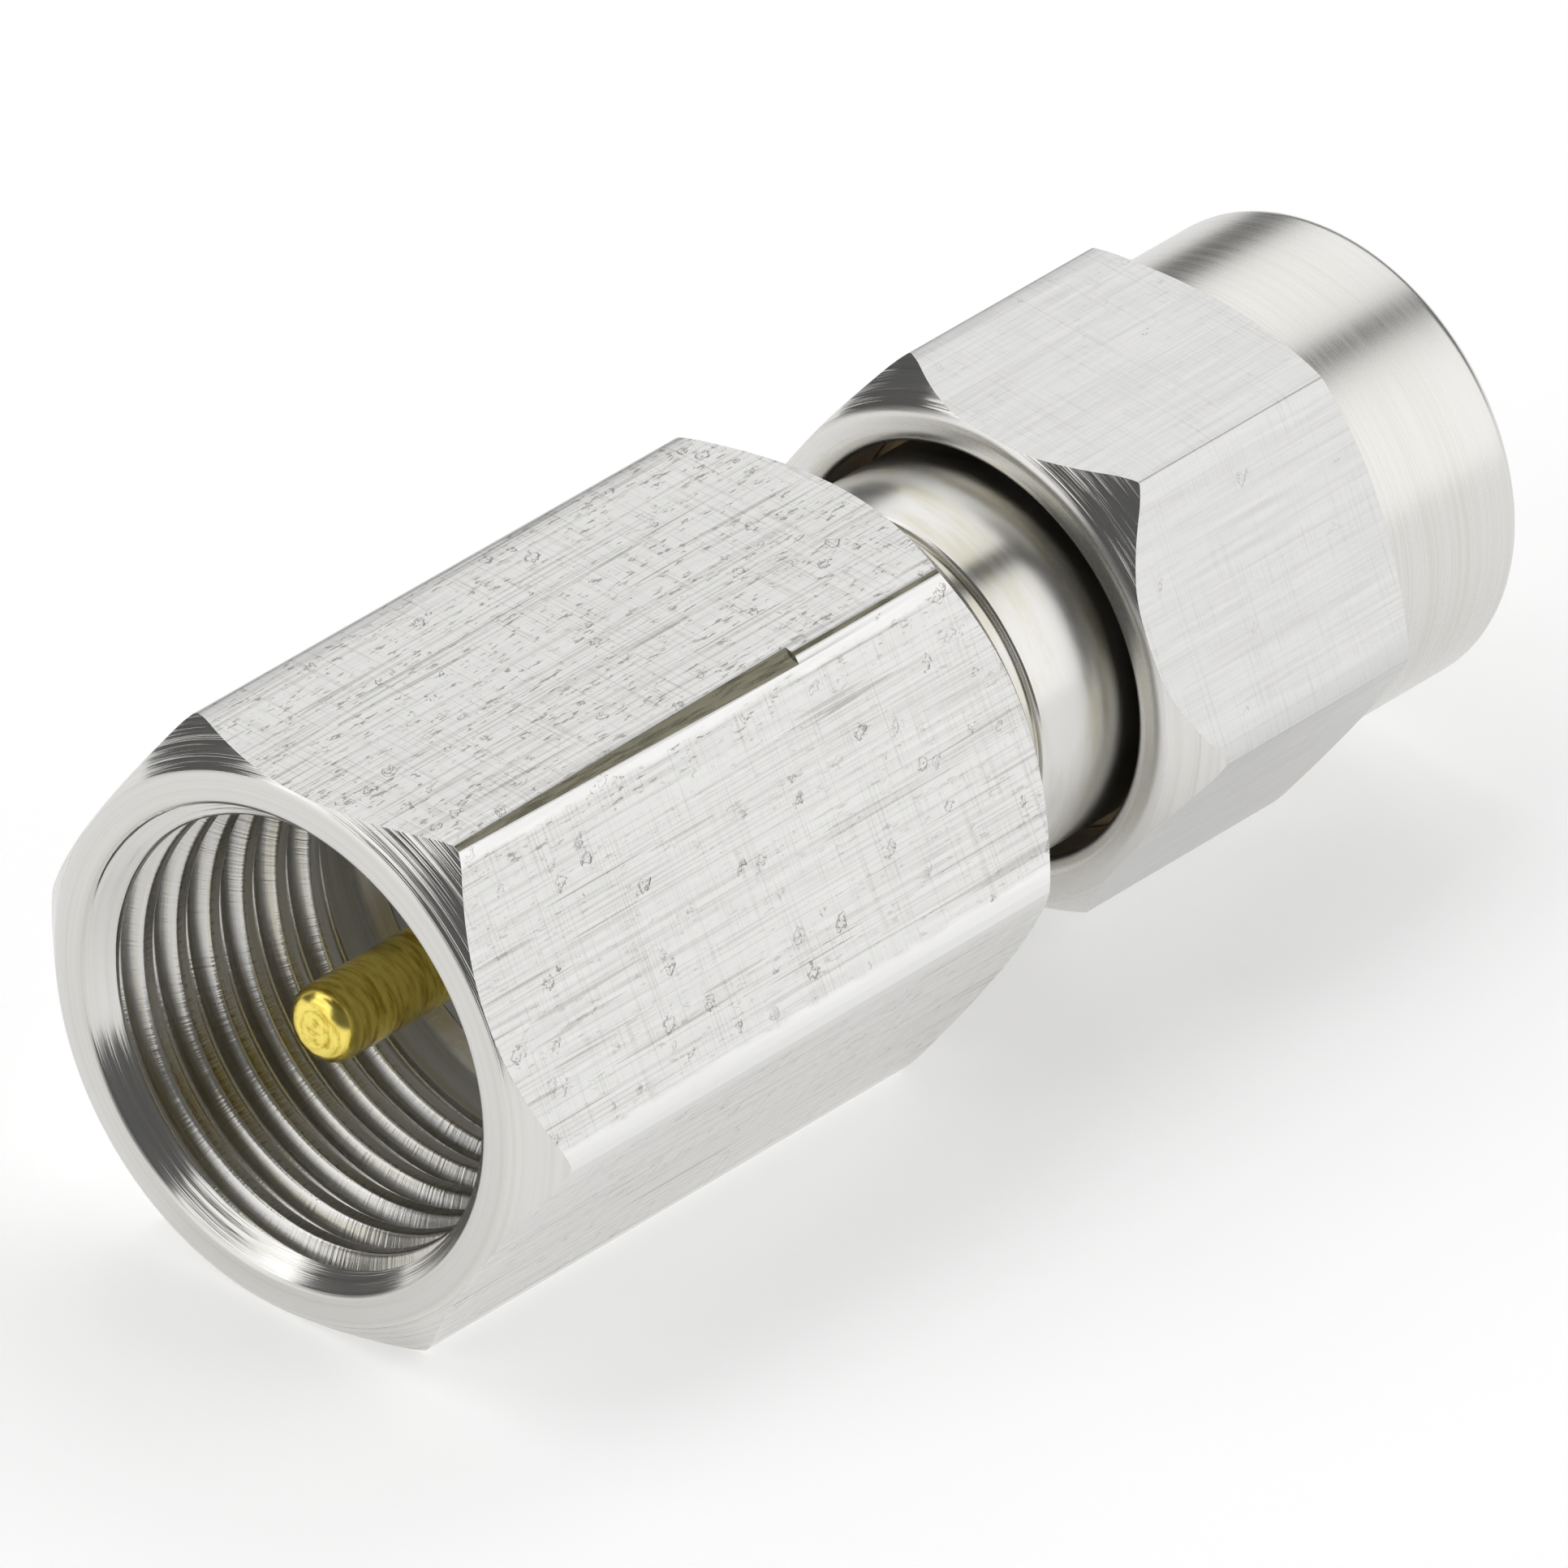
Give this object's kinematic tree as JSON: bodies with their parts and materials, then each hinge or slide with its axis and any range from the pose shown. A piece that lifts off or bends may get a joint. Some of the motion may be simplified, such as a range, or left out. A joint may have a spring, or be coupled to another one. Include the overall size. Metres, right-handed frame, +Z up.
{
  "type": "coaxial adapter",
  "caption": "Straight coaxial adapter in nickel-plated brass: internally threaded FME plug with a gold pin in a hex body, and an SMA plug with a captive hex coupling nut that spins.",
  "frame": {"origin": "centre of the FME mouth, on the axis, in the plane of the lip", "axes": "+X along the axis from the FME mouth to the nose of the SMA nut, +Z up, with one flat of the hex body facing down"},
  "size_m": [0.0241, 0.0102, 0.009],
  "materials": {
    "body_nickel": "satin nickel plate over turned brass, brushed flats",
    "nut_nickel": "fine satin nickel plate over turned brass",
    "contact_gold": "bright gold plate with turning rings",
    "insulator_white": "waxy white",
    "gasket_silicone": "matt silicone",
    "ring_bronze": "bare spring bronze"
  },
  "bodies": {
    "adapter": {"hex_body": "body_nickel", "centre_contact": "contact_gold", "fme_insulator": "insulator_white", "sma_insulator": "insulator_white", "gasket": "gasket_silicone"},
    "ring": {"snap_ring": "ring_bronze"},
    "nut": {"coupling_nut": "nut_nickel"}
  },
  "joints": [
    {"name": "nut_float", "type": "slide", "parent": "adapter", "child": "ring", "axis": [1, 0, 0], "range_m": [-0.0002, 0.0002]},
    {"name": "nut_spin", "type": "hinge", "parent": "ring", "child": "nut", "pos_m": [0.0155, 0, 0], "axis": [1, 0, 0], "continuous": true}
  ]
}
